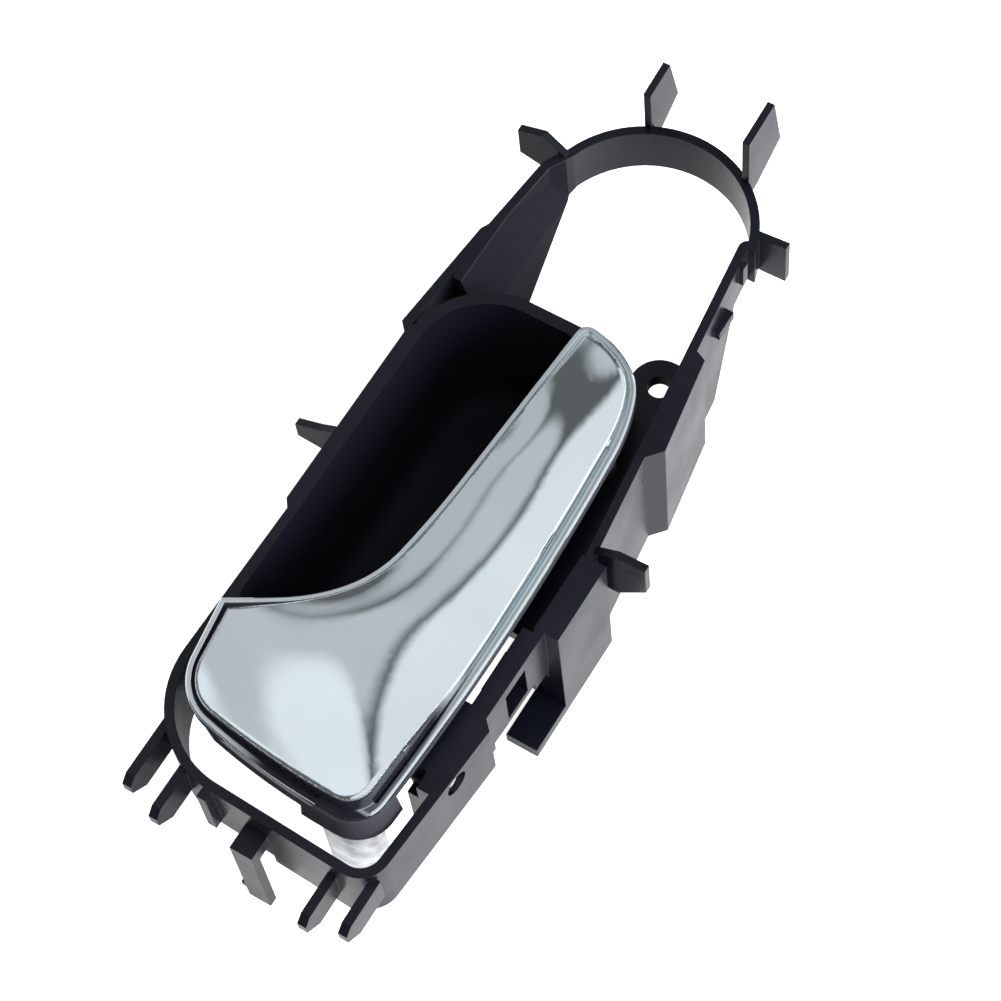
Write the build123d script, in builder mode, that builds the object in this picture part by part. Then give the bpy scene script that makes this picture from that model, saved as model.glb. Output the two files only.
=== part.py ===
from build123d import *
import math
import os

os.makedirs("parts", exist_ok=True)

# Car interior door handle: a black moulded housing with a finger cup and a loop,
# a plated pull lever on a steel hinge pin, its return spring and a rubber stop buffer.
# Datum: centre of the screw hole on the front face of the screw ear.
# +X runs along the handle to the loop, +Y to the finger cup, +Z out of the door.

# Housing levels
RIM_Z = 6.0               # front rim above the screw ear
BODY_DEPTH = 39.0         # rim to the back of the cup
LOW_WALL_DEPTH = 19.5     # walls round the hinge
LOOP_DEPTH = 13.2         # wall of the loop
WALL = 2.2                # moulded wall
back_z = RIM_Z - BODY_DEPTH
low_wall_z = RIM_Z - LOW_WALL_DEPTH
loop_z = RIM_Z - LOOP_DEPTH

# Rim outline
LOOP_X = 31.8
LOOP_Y = 23.1
LOOP_RADIUS = 26.9
BODY_WIDTH = 80.0         # more than the housing's width, for cuts across it
END_X = -132.4            # lower end wall
END_SKEW = 1.1            # half of the end wall's lean
END_LEAN = 1.0            # side walls lean out to that end by this
LOOP_TURN = math.radians(20.4)   # where the loop's round starts on the cup side
END_CUP_RADIUS = 24.0
END_PIVOT_RADIUS = 7.0
CUP_SIDE_Y = 55.3         # outer wall beside the cup
CUP_STEP = 1.5            # small jogs of that wall
STEP_RUN = 1.0            # half the length of a jog
CUP_STEP_LOOP_X = -17.5
CUP_STEP_HINGE_X = -67.8
CUP_CORNER_Y = 57.3       # that wall's widest point, beside the cup's tip
LOOP_SHOULDER = (35.4, 51.6)   # where it turns in to the loop
LOOP_JOG = (14.0, 54.2)        # middle of its jog beside the loop
PIVOT_SIDE_Y = -10.2      # outer wall on the pivot side
PIVOT_BULGE = 2.1         # that wall stands out round the hinge
PIVOT_BULGE_X = -90.4
BEND_X = -46.5            # where the pivot side turns in to the loop
BEND_Y = -10.9
LOOP_FLAT_Y = -1.8        # straight pivot side of the loop, at its middle
LOOP_FLAT_X = 37.8        # where the loop's round takes over again

# Slopes that take the walls up to the loop
CUP_SLOPE_X = 12.7
CUP_SLOPE_RUN = 27.9
PIVOT_SLOPE_X = 19.0
PIVOT_SLOPE_RUN = 11.5

# Inner skin of the loop's cup side wall
LINER_Y = 47.0
LINER_TOP = -10.0
LINER_LEAN = 4.2          # it leans out to the rim over this width
LINER_END_X = 38.7

# Finger cup
CUP_TIP_X = -1.2
CUP_OUTER_Y = 51.5
CUP_LENGTH = 95.6
CUP_WIDTH = 39.4
CUP_TIP_RADIUS = 17.0
CUP_RADIUS = 8.0
CUP_DRAFT = 5.0
CUP_FLOOR = 2.4
CUP_FLOOR_RADIUS = 6.0
CUP_BAND = 3.0            # rim round the cup's tip
cup_low_x = CUP_TIP_X - CUP_LENGTH

# Screw ear and the shelf that carries it
EAR_RADIUS = 7.0
EAR_THICK = 3.5
SCREW_RADIUS = 2.75
SHELF_LENGTH = 67.5
SHELF_REACH = 12.5        # shelf runs past the ear into the cup wall

# Boxes on the pivot side wall
BOX_X = -56.5
BOX_LENGTH = 20.0
BOX_REACH = 3.8
BOX_GUSSET = 5.0          # hollow corner under the wall beside the box
WEDGE_X = -20.7
WEDGE_LENGTH = 30.4
WEDGE_HIGH = (-16.0, -10.9)    # outer corners of the wedge
WEDGE_LOW = (8.0, -7.1)
LEDGE_LENGTH = 12.5       # small ledge low on the box
LEDGE_WIDTH = 8.0
LEDGE_THICK = 3.5
WINDOW_X = -78.4          # blind window in the wall beside the box
WINDOW_LENGTH = 7.6
WINDOW_HEIGHT = 11.0
WINDOW_Z = -3.0
WINDOW_FLOOR_Y = -6.0
WINDOW_FRAME = 1.2        # its backing is wider than the window by this
WINDOW_SKIN = 1.0

# Edges of the low walls
APRON_START_Y = -4.0      # deeper stretch of the lower end wall
APRON_END_Y = 18.0
APRON_DEPTH = 4.0
NOTCH_LOW_X = -88.5       # shallower stretch between the hinge and the box
NOTCH_HIGH_X = -72.0
NOTCH_DEPTH = 3.0
FLANGE_Y = -5.8           # rim widens to here between the hinge and the shelf

# Hinge
HINGE_X = -103.6
HINGE_Z = 2.0
PIN_RADIUS = 2.0
PIN_CLEARANCE = 0.05      # running fit of the lever on the pin
PIN_SEAT_CLEARANCE = 0.02
PIN_RECESS = 1.0          # pin end below the wall's outer face
PIN_ACCESS_RADIUS = 3.0
PIN_CHAMFER = 0.3
BOSS_RADIUS = 4.0
SIDE_GAP = 0.35           # lever lug to bracket
BRACKET_TAIL = 6.1        # pivot bracket, hinge to its lower end
BRACKET_HEAD = 15.6       # hinge to its upper end
BRACKET_TOP = 0.0         # level of the sunken top
BRACKET_Y = -2.8          # inner face of the pivot side bracket
CUP_BRACKET_Y = 44.2      # inner face of the cup side bracket
DECK_Y = -5.6             # rim widens to here over the bracket's tail
DECK_HEAD_Y = -3.5        # and to here over the rest of it
DECK_HEAD_START = 2.0     # wider part starts this far below the hinge
BOSS_ROOT = 0.5           # boss runs this far into the deck

# Lever plan, points as distance from the hinge and y
LEVER_TAIL = 21.4         # hinge to the lower end
LEVER_REACH = 104.5       # hinge to the tip
LEVER_RISE = 6.0          # bead above the rim
LEVER_SIDE_Y = -5.0       # pivot side edge
WIDE_POINT = (7.8, 52.0)       # cup side corner of the wide end
WIDE_EDGE_END = (-6.4, 49.9)   # straight edge beside it ends here
LOW_CUP_POINT = (3.6 - LEVER_TAIL, 39.2)   # ends of the lower end's arc
LOW_PIVOT_POINT = (-LEVER_TAIL, 4.2)
SIDE_POINTS = (                # pivot side, from the lower end to the tip
    (7.4 - LEVER_TAIL, -3.7),
    (48.6, LEVER_SIDE_Y),
    (LEVER_REACH - 25.6, -3.5),
    (LEVER_REACH - 11.7, -0.4),
    (LEVER_REACH - 5.5, 4.3),
    (LEVER_REACH - 0.8, 15.0),
)
ARM_POINTS = (                 # cup side, from the tip
    (LEVER_REACH - 47.4, 22.5),
    (36.4, 24.8),
    (22.7, 31.2),
    (14.3, 41.1),
)
LEVER_TIP_RUN = 4.6       # straight stretch before the tip's round corner
LEVER_TIP_RADIUS = 3.1
bead_z = RIM_Z + LEVER_RISE
tail_x = HINGE_X - LEVER_TAIL
tip_x = HINGE_X + LEVER_REACH

# Lever section
BEAD_WIDTH = 1.3
BEAD_HEIGHT = 1.0
BEAD_CHAMFER = 0.4
GROOVE = 0.7
EDGE_THICK = 2.4
SHELL = 2.4
FACE_ROUND = 1.2
LEVER_HEIGHT = 40.0       # tall enough to be cut off by the swept face
SKIRT_DEPTH = 6.2         # at the pivot side corner
SKIRT_LOW_DEPTH = 2.4     # along the lower end
SKIRT_STEP_Y = 13.0
SKIRT_WALL = 2.4
SKIRT_END = 10.5          # skirt stops this far short of the hinge
SKIRT_FLARE = 9.0         # skirt leans out towards its foot
SKIRT_INSET = 0.6         # its plan at the hinge, inside the lever's edge
groove_z = bead_z - BEAD_HEIGHT
edge_z = groove_z - EDGE_THICK

# Swept face: sections across the lever, each as its distance from the hinge
# and five points of its top, as y and height above the bead
FACE_SECTIONS = (
    (-LEVER_TAIL - 3, (60, -2.4), (38, 0.6), (20, 2.8), (4, 5.4), (-12, 6.2)),
    (-6.4, (60, -0.5), (34, 3.2), (8, 7.0), (1, 6.9), (-12, 1.0)),
    (9.6, (60, -1.0), (33, 3.5), (16, 6.9), (7, 6.9), (-12, -6.0)),
    (23.6, (40, -6.0), (26, 2.8), (17, 6.0), (9.5, 6.7), (-12, -7.5)),
    (39.6, (36, -8.5), (22, 1.4), (16, 4.2), (10.5, 5.6), (-12, -6.8)),
    (LEVER_REACH - 42.9, (34, -8.5), (20.3, 1.3), (15, 3.9), (10, 5.2), (-14, -9.0)),
    (LEVER_REACH - 20.9, (34, -6.0), (18.9, 1.4), (12, 3.6), (6.5, 4.0), (-14, -11.0)),
    (LEVER_REACH + 3, (34, -4.0), (17, 0.9), (11, 1.2), (4, -0.6), (-14, -9.0)),
)

# Lever back
LUG_THICK = 3.5
LUG_RADIUS = 3.8
ARM_LENGTH = 27.0         # cable arm below the hinge
ARM_THICK = 6.5
ARM_WIDTH = 11.2
EYE_RADIUS = 1.8          # seat of the cable's end barrel
EYE_SLOT = 2.2
RIB_THICK = 1.6
RIB_PITCH = 27.0
RIB_Y = 7.5
RIB_COUNT = 3
RIB_DEPTH = 2.0           # ribs end this far above the lever's edge

# Return spring
WIRE_RADIUS = 0.6
COIL_RADIUS = 3.3
COIL_TURNS = 3
WIRE_FLATS = 8            # drawn wire section
COIL_PITCH = 1.35
SPRING_Y = 26.0           # where the coil starts
SPRING_LEG = 12.0         # leg that leans on the cup
SPRING_TAIL_LEG = 13.0    # leg that lifts the lever's lower end
SPRING_GAP = 0.15         # legs to what they lean on
PAD_LENGTH = 4.0
PAD_WIDTH = 5.0

# Stop buffer
BUFFER_X = -24.0
BUFFER_RADIUS = 3.5
BUFFER_HEIGHT = 4.0
BUFFER_STEM_RADIUS = 1.5
BUFFER_CHAMFER = 0.6
STEM_CLEARANCE = 0.05
STOP_GAP = 0.3
BUFFER_Y = 1.0
BARB_RADIUS = 2.1
BARB_LENGTH = 2.5
BARB_TAPER = 20.0
POST_RADIUS = 2.6

# Locating blades on the far side of the loop
BLADES = ((34.8, 15.0, 11.2), (8.0, 17.2, 13.8))   # y, rise above the rim, reach
BLADE_THICK = 1.8
BLADE_SHOULDER = 1.2      # inner corner below the tip
BLADE_TIP = 3.3           # tip short of the reach
BLADE_FOOT = 2.6
BLADE_ROOT = 5.0          # blade's root below the rim

# Locating tabs beside the rim: x, outer wall there, side, reach,
# rise of the shoulder and of the tip above the rim, depth of the tip and of the root below it
TAB_THICK = 1.8
TAB_SHOULDER = 0.4        # share of the reach where the tab's edges bend
TABS = (
    (39.8, 48.6, 1, 11.8, 4.6, 2.2, 6.8, 8.8),
    (42.4, -1.6, -1, 7.4, 0.5, 1.0, 13.0, 13.2),
    (-47.0, CUP_SIDE_Y, 1, 11.4, -3.6, -7.0, 12.3, 13.0),
    (-44.2, BEND_Y, -1, 12.0, 3.4, 4.0, 6.4, 14.0),
)

# Prongs on the lower end: y, reach beyond the end wall, level of the top
PRONG_THICK = 2.2
PRONG_DEPTH = 9.0
PRONG_POINT = 4.0
PRONGS = ((49.1, 6.4, 3.0), (40.1, 9.6, 3.0), (1.1, 12.6, -0.7), (-8.4, 10.9, 3.0))

# Hook and rib on the lower end wall
HOOK_Y = 20.8
HOOK_WIDTH = 5.6
HOOK_REACH = 6.0
HOOK_DROP = 29.5
HOOK_TOP = -2.4
HOOK_PLATE = 4.5          # plate that carries the hook's leg
HOOK_THICK = 2.2
HOOK_NIB = 1.0            # nib on the side of the leg
HOOK_NIB_Z = -27.0
HOOK_NIB_HEIGHT = 2.0
END_RIB_Y = 32.0
END_RIB_REACH = 2.4
END_RIB_DEPTH = 16.0

# Clip bump and nub beside the loop
BUMP_X = 22.0
BUMP_LENGTH = 6.5
BUMP_TOP = -0.5
BUMP_HEIGHT = 2.8
BUMP_REACH = 1.8
NUB_X = 33.6
NUB_LENGTH = 2.0
NUB_HEIGHT = 7.0
NUB_REACH = 1.4


# Ends of the hinge pin and of the spring's coil
bulge_share = (HINGE_X - END_X) / (PIVOT_BULGE_X - END_X)
hinge_wall_y = PIVOT_SIDE_Y + END_LEAN - (PIVOT_BULGE + END_LEAN) * bulge_share
pin_start_y = hinge_wall_y + PIN_RECESS
pin_end_y = CUP_SIDE_Y - CUP_STEP - WALL
arm_z = HINGE_Z - ARM_LENGTH

# The spring's fixed leg leans over until its foot meets the cup's drafted end wall
leg_foot_z = HINGE_Z - SPRING_LEG
cup_end_x = cup_low_x - WALL + (RIM_Z - leg_foot_z) * math.tan(math.radians(CUP_DRAFT))
leg_reach = cup_end_x - SPRING_GAP - WIRE_RADIUS - HINGE_X
leg_lean = math.asin(leg_reach / math.hypot(COIL_RADIUS, SPRING_LEG)) - math.atan2(COIL_RADIUS, SPRING_LEG)
coil_turns = COIL_TURNS + 0.25 - leg_lean / (2 * math.pi)


def pivot_wall_y(x):
    """Outer face of the pivot side wall between its bend and the loop."""
    share = (x - BEND_X) / (LOOP_X - BEND_X)
    return BEND_Y + share * (LOOP_FLAT_Y - BEND_Y)


def loop_edge_x(y):
    """Outer face of the loop on its far side at a given y."""
    return LOOP_X + math.sqrt(LOOP_RADIUS**2 - (y - LOOP_Y) ** 2)


def end_wall_x(y):
    """Outer face of the lower end wall at a given y."""
    share = (y - PIVOT_SIDE_Y) / (CUP_SIDE_Y - PIVOT_SIDE_Y)
    straight_x = END_X + END_SKEW * (2 * share - 1)
    rise = max(0.0, y - (CUP_SIDE_Y - END_CUP_RADIUS))
    drop = max(0.0, PIVOT_SIDE_Y + END_PIVOT_RADIUS - y)
    cup_corner = END_CUP_RADIUS - math.sqrt(END_CUP_RADIUS**2 - rise**2)
    pivot_corner = END_PIVOT_RADIUS - math.sqrt(END_PIVOT_RADIUS**2 - drop**2)
    return straight_x + cup_corner + pivot_corner


def from_hinge(point):
    """Place of a point of the lever's plan."""
    return Vector(HINGE_X + point[0], point[1])


def rounded_corner(before, corner, after, radius):
    """Ends of the arc that rounds a corner between two straight lines."""
    to_before = (before - corner).normalized()
    to_after = (after - corner).normalized()
    reach = radius / math.tan(math.radians(to_before.get_angle(to_after)) / 2)
    return corner + to_before * reach, corner + to_after * reach


def crown(drop):
    """Solid under the lever's swept face, the face lowered by drop."""
    base_z = bead_z - drop
    with BuildPart() as under_face:
        for reach, *points in FACE_SECTIONS:
            top = [(y, base_z + rise) for y, rise in points]
            with BuildSketch(Plane.YZ.offset(HINGE_X + reach)):
                with BuildLine():
                    Spline(*top)
                    Polyline(top[-1], (top[-1][0], back_z), (top[0][0], back_z), top[0])
                make_face()
        loft()
    return under_face.part


# Outline of the rim
with BuildSketch() as rim_plan:
    with BuildLine():
        Polyline(
            (LOOP_X, LOOP_Y),
            (LOOP_X + LOOP_RADIUS * math.sin(LOOP_TURN), LOOP_Y + LOOP_RADIUS * math.cos(LOOP_TURN)),
            LOOP_SHOULDER,
            (LOOP_JOG[0] + STEP_RUN, LOOP_JOG[1] - STEP_RUN / 2),
            (LOOP_JOG[0] - STEP_RUN, LOOP_JOG[1] + STEP_RUN / 2),
            (CUP_STEP_LOOP_X + STEP_RUN, CUP_CORNER_Y),
            (CUP_STEP_LOOP_X - STEP_RUN, CUP_SIDE_Y),
            (CUP_STEP_HINGE_X + STEP_RUN, CUP_SIDE_Y),
            (CUP_STEP_HINGE_X - STEP_RUN, CUP_SIDE_Y - CUP_STEP),
            (END_X + END_SKEW, CUP_SIDE_Y - CUP_STEP + END_LEAN),
            (END_X - END_SKEW, PIVOT_SIDE_Y + END_LEAN),
            (PIVOT_BULGE_X - STEP_RUN, PIVOT_SIDE_Y - PIVOT_BULGE),
            (PIVOT_BULGE_X + STEP_RUN, PIVOT_SIDE_Y),
            (BEND_X, BEND_Y),
            (LOOP_X, LOOP_FLAT_Y),
            close=True,
        )
    make_face()
    fillet(rim_plan.vertices().sort_by(Axis.X)[1], END_CUP_RADIUS)
    fillet(rim_plan.vertices().sort_by(Axis.X)[0], END_PIVOT_RADIUS)
    with Locations((LOOP_X, LOOP_Y)):
        Circle(LOOP_RADIUS)
    with BuildLine():
        Polyline(
            (BEND_X, BEND_Y),
            (LOOP_FLAT_X, pivot_wall_y(LOOP_FLAT_X)),
            (LOOP_FLAT_X, BEND_Y),
            close=True,
        )
    make_face(mode=Mode.SUBTRACT)

# Opening of the finger cup
with BuildSketch() as cup_plan:
    with Locations((CUP_TIP_X, CUP_OUTER_Y)):
        Rectangle(CUP_LENGTH, CUP_WIDTH, align=(Align.MAX, Align.MAX))
    tip_corner = cup_plan.vertices().group_by(Axis.X)[-1].sort_by(Axis.Y)[-1]
    fillet(tip_corner, CUP_TIP_RADIUS)
    fillet(cup_plan.vertices().group_by(Axis.X)[0], CUP_RADIUS)
    fillet(cup_plan.vertices().group_by(Axis.Y)[0].sort_by(Axis.X)[-1], CUP_RADIUS)

# Hollow of the finger cup
with BuildPart() as cup_hollow:
    with BuildSketch(Plane.XY.offset(RIM_Z)):
        add(cup_plan.sketch)
    extrude(amount=-(BODY_DEPTH - CUP_FLOOR), taper=CUP_DRAFT)
    fillet(cup_hollow.faces().sort_by(Axis.Z)[0].edges(), CUP_FLOOR_RADIUS)

# Inner skin beside the loop, open at the back, that leans out to the rim
with BuildPart() as liner:
    with BuildSketch(Plane.YZ.offset(CUP_TIP_X)):
        with BuildLine():
            Polyline(
                (LINER_Y, back_z),
                (LINER_Y, LINER_TOP),
                (LINER_Y + LINER_LEAN, RIM_Z),
                (LINER_Y + LINER_LEAN + WALL, RIM_Z),
                (LINER_Y + WALL, LINER_TOP),
                (LINER_Y + WALL, back_z),
                close=True,
            )
        make_face()
    extrude(amount=LINER_END_X - CUP_TIP_X)
    with BuildSketch(Plane.XY.offset(back_z)):
        add(rim_plan.sketch)
    extrude(amount=BODY_DEPTH, mode=Mode.INTERSECT)

with BuildPart() as housing:
    # Outer wall, cut shallower round the hinge and towards the loop
    with BuildSketch(Plane.XY.offset(back_z)):
        add(rim_plan.sketch)
        offset(amount=-WALL, mode=Mode.SUBTRACT)
    extrude(amount=BODY_DEPTH)
    add(liner.part)
    with BuildSketch(Plane.XZ.offset(-LOOP_Y)):
        with BuildLine():
            Polyline(
                (CUP_SLOPE_X, back_z),
                (CUP_SLOPE_X + CUP_SLOPE_RUN, loop_z),
                (LOOP_X + 2 * LOOP_RADIUS, loop_z),
                (LOOP_X + 2 * LOOP_RADIUS, back_z),
                close=True,
            )
        make_face()
    extrude(amount=-2 * LOOP_RADIUS, mode=Mode.SUBTRACT)
    with BuildSketch(Plane.XZ.offset(-LOOP_Y)):
        with BuildLine():
            Polyline(
                (PIVOT_SLOPE_X, back_z),
                (PIVOT_SLOPE_X + PIVOT_SLOPE_RUN, loop_z),
                (LOOP_X + 2 * LOOP_RADIUS, loop_z),
                (LOOP_X + 2 * LOOP_RADIUS, back_z),
                close=True,
            )
        make_face()
    extrude(amount=2 * LOOP_RADIUS, mode=Mode.SUBTRACT)

    # Box and wedge that stand out of the pivot side wall
    with BuildSketch(Plane.XY.offset(back_z)):
        with Locations((BOX_X, PIVOT_SIDE_Y - BOX_REACH)):
            Rectangle(BOX_LENGTH, BOX_REACH + WALL, align=(Align.CENTER, Align.MIN))
        with BuildLine():
            Polyline(
                (WEDGE_X, pivot_wall_y(WEDGE_X) + WALL / 2),
                WEDGE_HIGH,
                WEDGE_LOW,
                (WEDGE_X + WEDGE_LENGTH, pivot_wall_y(WEDGE_X + WEDGE_LENGTH) + WALL / 2),
                close=True,
            )
        make_face()
    extrude(amount=BODY_DEPTH)
    with BuildSketch(Plane.XY.offset(back_z)):
        with Locations((BOX_X, PIVOT_SIDE_Y - BOX_REACH + WALL)):
            Rectangle(BOX_LENGTH - 2 * WALL, BOX_REACH + WALL, align=(Align.CENTER, Align.MIN))
    extrude(amount=BODY_DEPTH - WALL, mode=Mode.SUBTRACT)

    # Low walls round the hinge
    box_low_x = BOX_X - BOX_LENGTH / 2
    with BuildSketch(Plane.XY.offset(low_wall_z)):
        with Locations((box_low_x, LOOP_Y)):
            Rectangle(BODY_WIDTH, BODY_WIDTH * 2, align=(Align.MAX, Align.CENTER))
        with Locations((cup_low_x, CUP_OUTER_Y)):
            Rectangle(CUP_LENGTH, CUP_WIDTH, align=(Align.MIN, Align.CENTER), mode=Mode.SUBTRACT)
    extrude(amount=-BODY_DEPTH, mode=Mode.SUBTRACT)
    with BuildSketch(Plane.XY.offset(low_wall_z)):
        with Locations((NOTCH_LOW_X, PIVOT_SIDE_Y)):
            Rectangle(NOTCH_HIGH_X - NOTCH_LOW_X, WALL * 4, align=(Align.MIN, Align.CENTER))
    extrude(amount=NOTCH_DEPTH, mode=Mode.SUBTRACT)
    with BuildSketch(Plane.XY.offset(low_wall_z)):
        with Locations((END_X + WALL, (APRON_START_Y + APRON_END_Y) / 2)):
            Rectangle(WALL * 4, APRON_END_Y - APRON_START_Y)
        add(rim_plan.sketch, mode=Mode.INTERSECT)
        offset(rim_plan.sketch, amount=-WALL, mode=Mode.SUBTRACT)
    extrude(amount=-APRON_DEPTH)
    with BuildSketch(Plane.XY.offset(back_z)):
        with Locations((box_low_x + WALL, PIVOT_SIDE_Y - BOX_REACH)):
            Rectangle(LEDGE_LENGTH + WALL, LEDGE_WIDTH, align=(Align.MAX, Align.MIN))
    extrude(amount=LEDGE_THICK)

    # Hollow corner under the wall beside the box
    gusset_diagonal = BOX_GUSSET * math.sqrt(0.5)
    with BuildSketch(Plane.XZ.offset(-PIVOT_SIDE_Y - WALL)):
        with BuildLine():
            Polyline(
                (box_low_x, low_wall_z - BOX_GUSSET),
                (box_low_x, low_wall_z),
                (box_low_x - BOX_GUSSET, low_wall_z),
            )
            ThreePointArc(
                (box_low_x - BOX_GUSSET, low_wall_z),
                (
                    box_low_x - BOX_GUSSET + gusset_diagonal,
                    low_wall_z - BOX_GUSSET + gusset_diagonal,
                ),
                (box_low_x, low_wall_z - BOX_GUSSET),
            )
        make_face()
    extrude(amount=WALL)

    # Blind window with its backing
    with BuildSketch(Plane.XZ.offset(-WINDOW_FLOOR_Y - WINDOW_SKIN)):
        with Locations((WINDOW_X, WINDOW_Z)):
            Rectangle(WINDOW_LENGTH + 2 * WINDOW_FRAME, WINDOW_HEIGHT + 2 * WINDOW_FRAME)
    extrude(amount=WINDOW_SKIN + WINDOW_FLOOR_Y - PIVOT_SIDE_Y - WALL / 2)
    with BuildSketch(Plane.XZ.offset(-WINDOW_FLOOR_Y)):
        with Locations((WINDOW_X, WINDOW_Z)):
            Rectangle(WINDOW_LENGTH, WINDOW_HEIGHT)
    extrude(amount=WALL * 4, mode=Mode.SUBTRACT)

    # Deck between the outer wall and the cup, and the shelf with the screw ear
    deck_end_x = CUP_TIP_X - CUP_TIP_RADIUS
    with BuildSketch(Plane.XY.offset(RIM_Z)):
        add(cup_plan.sketch)
        offset(amount=CUP_BAND)
        with Locations((deck_end_x, CUP_OUTER_Y)):
            Rectangle(CUP_LENGTH, CUP_WIDTH * 3, align=(Align.MAX, Align.CENTER), mode=Mode.SUBTRACT)
        with Locations((deck_end_x, CUP_OUTER_Y - CUP_TIP_RADIUS)):
            Rectangle(deck_end_x - cup_low_x + WALL, CUP_TIP_RADIUS * 2, align=(Align.MAX, Align.MIN))
        add(rim_plan.sketch, mode=Mode.INTERSECT)
    extrude(amount=-WALL)
    with BuildSketch(Plane.XY.offset(RIM_Z)):
        with Locations((-SHELF_LENGTH, FLANGE_Y)):
            Rectangle(-SHELF_LENGTH - HINGE_X - BRACKET_HEAD, WALL * 4, align=(Align.MAX, Align.MAX))
        add(rim_plan.sketch, mode=Mode.INTERSECT)
    extrude(amount=-WALL)
    with BuildSketch():
        with Locations((-EAR_RADIUS, 0)):
            Rectangle(SHELF_LENGTH - EAR_RADIUS, SHELF_REACH, align=(Align.MAX, Align.MIN))
            Rectangle(SHELF_LENGTH - EAR_RADIUS, BODY_WIDTH, align=(Align.MAX, Align.MAX))
        Circle(EAR_RADIUS)
        with Locations((-EAR_RADIUS, 0)):
            Rectangle(EAR_RADIUS, EAR_RADIUS, align=(Align.MIN, Align.MIN))
            Rectangle(EAR_RADIUS * 2, BODY_WIDTH, align=(Align.MIN, Align.MAX))
        add(rim_plan.sketch, mode=Mode.INTERSECT)
    extrude(amount=-EAR_THICK)

    # Cup
    with BuildSketch(Plane.XY.offset(RIM_Z)):
        add(cup_plan.sketch)
        offset(amount=WALL)
    extrude(amount=-BODY_DEPTH, taper=CUP_DRAFT)
    add(cup_hollow.part, mode=Mode.SUBTRACT)

    # Brackets and bosses that hold the hinge pin
    bracket_mid_x = HINGE_X + (BRACKET_HEAD - BRACKET_TAIL) / 2
    with BuildSketch(Plane.XY.offset(low_wall_z)):
        with Locations((bracket_mid_x, BRACKET_Y)):
            Rectangle(BRACKET_HEAD + BRACKET_TAIL, BODY_WIDTH, align=(Align.CENTER, Align.MAX))
        with Locations((HINGE_X, CUP_BRACKET_Y)):
            Rectangle(2 * BOSS_RADIUS, BODY_WIDTH, align=(Align.CENTER, Align.MIN))
        add(rim_plan.sketch, mode=Mode.INTERSECT)
    extrude(amount=BRACKET_TOP - low_wall_z)
    with BuildSketch(Plane.XY.offset(RIM_Z)):
        with Locations((bracket_mid_x, DECK_Y)):
            Rectangle(BRACKET_HEAD + BRACKET_TAIL, BODY_WIDTH, align=(Align.CENTER, Align.MAX))
        with Locations((HINGE_X - DECK_HEAD_START, DECK_HEAD_Y)):
            Rectangle(BRACKET_HEAD + DECK_HEAD_START, BODY_WIDTH, align=(Align.MIN, Align.MAX))
        add(rim_plan.sketch, mode=Mode.INTERSECT)
    extrude(amount=BRACKET_TOP - RIM_Z)
    with BuildSketch(Plane.XZ.offset(-BRACKET_Y)):
        with Locations((HINGE_X, HINGE_Z)):
            Circle(BOSS_RADIUS)
        with Locations((HINGE_X, HINGE_Z)):
            Rectangle(2 * BOSS_RADIUS, HINGE_Z - BRACKET_TOP, align=(Align.CENTER, Align.MAX))
    extrude(amount=BRACKET_Y - DECK_Y + BOSS_ROOT)
    with BuildSketch(Plane.XZ.offset(-CUP_BRACKET_Y)):
        with Locations((HINGE_X, HINGE_Z)):
            Circle(BOSS_RADIUS)
    extrude(amount=-(CUP_SIDE_Y - CUP_STEP - CUP_BRACKET_Y - WALL / 2))

    # Bore of the hinge pin, open to the pivot side
    with BuildSketch(Plane.XZ.offset(-pin_start_y)):
        with Locations((HINGE_X, HINGE_Z)):
            Circle(PIN_RADIUS + PIN_SEAT_CLEARANCE)
    extrude(amount=-(pin_end_y + PIN_SEAT_CLEARANCE - pin_start_y), mode=Mode.SUBTRACT)
    with BuildSketch(Plane.XZ.offset(-pin_start_y - PIN_SEAT_CLEARANCE)):
        with Locations((HINGE_X, HINGE_Z)):
            Circle(PIN_ACCESS_RADIUS)
    extrude(amount=WALL * 2, mode=Mode.SUBTRACT)

    # Screw hole and the seat of the stop buffer
    with BuildSketch():
        Circle(SCREW_RADIUS)
        with Locations((BUFFER_X, BUFFER_Y)):
            Circle(BUFFER_STEM_RADIUS + STEM_CLEARANCE)
    extrude(amount=-EAR_THICK, mode=Mode.SUBTRACT)

    # Locating blades and tabs
    for y, rise, reach in BLADES:
        root_x = loop_edge_x(y)
        with BuildSketch(Plane.XZ.offset(-y - BLADE_THICK / 2)):
            with BuildLine():
                Polyline(
                    (root_x - WALL / 2, RIM_Z - BLADE_ROOT),
                    (root_x - WALL / 2, RIM_Z + rise - BLADE_SHOULDER),
                    (root_x + reach - BLADE_TIP, RIM_Z + rise),
                    (root_x + reach, RIM_Z),
                    (root_x + BLADE_FOOT, RIM_Z - BLADE_ROOT),
                    close=True,
                )
            make_face()
        extrude(amount=BLADE_THICK)
    for x, wall_y, side, reach, shoulder_rise, tip_rise, tip_depth, root_depth in TABS:
        with BuildSketch(Plane.YZ.offset(x - TAB_THICK / 2)):
            with BuildLine():
                Polyline(
                    (wall_y - side * WALL / 2, RIM_Z),
                    (wall_y + side * reach * TAB_SHOULDER, RIM_Z + shoulder_rise),
                    (wall_y + side * reach, RIM_Z + tip_rise),
                    (wall_y + side * reach, RIM_Z - tip_depth),
                    (wall_y + side * reach * TAB_SHOULDER, RIM_Z - root_depth),
                    (wall_y - side * WALL / 2, RIM_Z - root_depth),
                    close=True,
                )
            make_face()
        extrude(amount=TAB_THICK)

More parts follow.
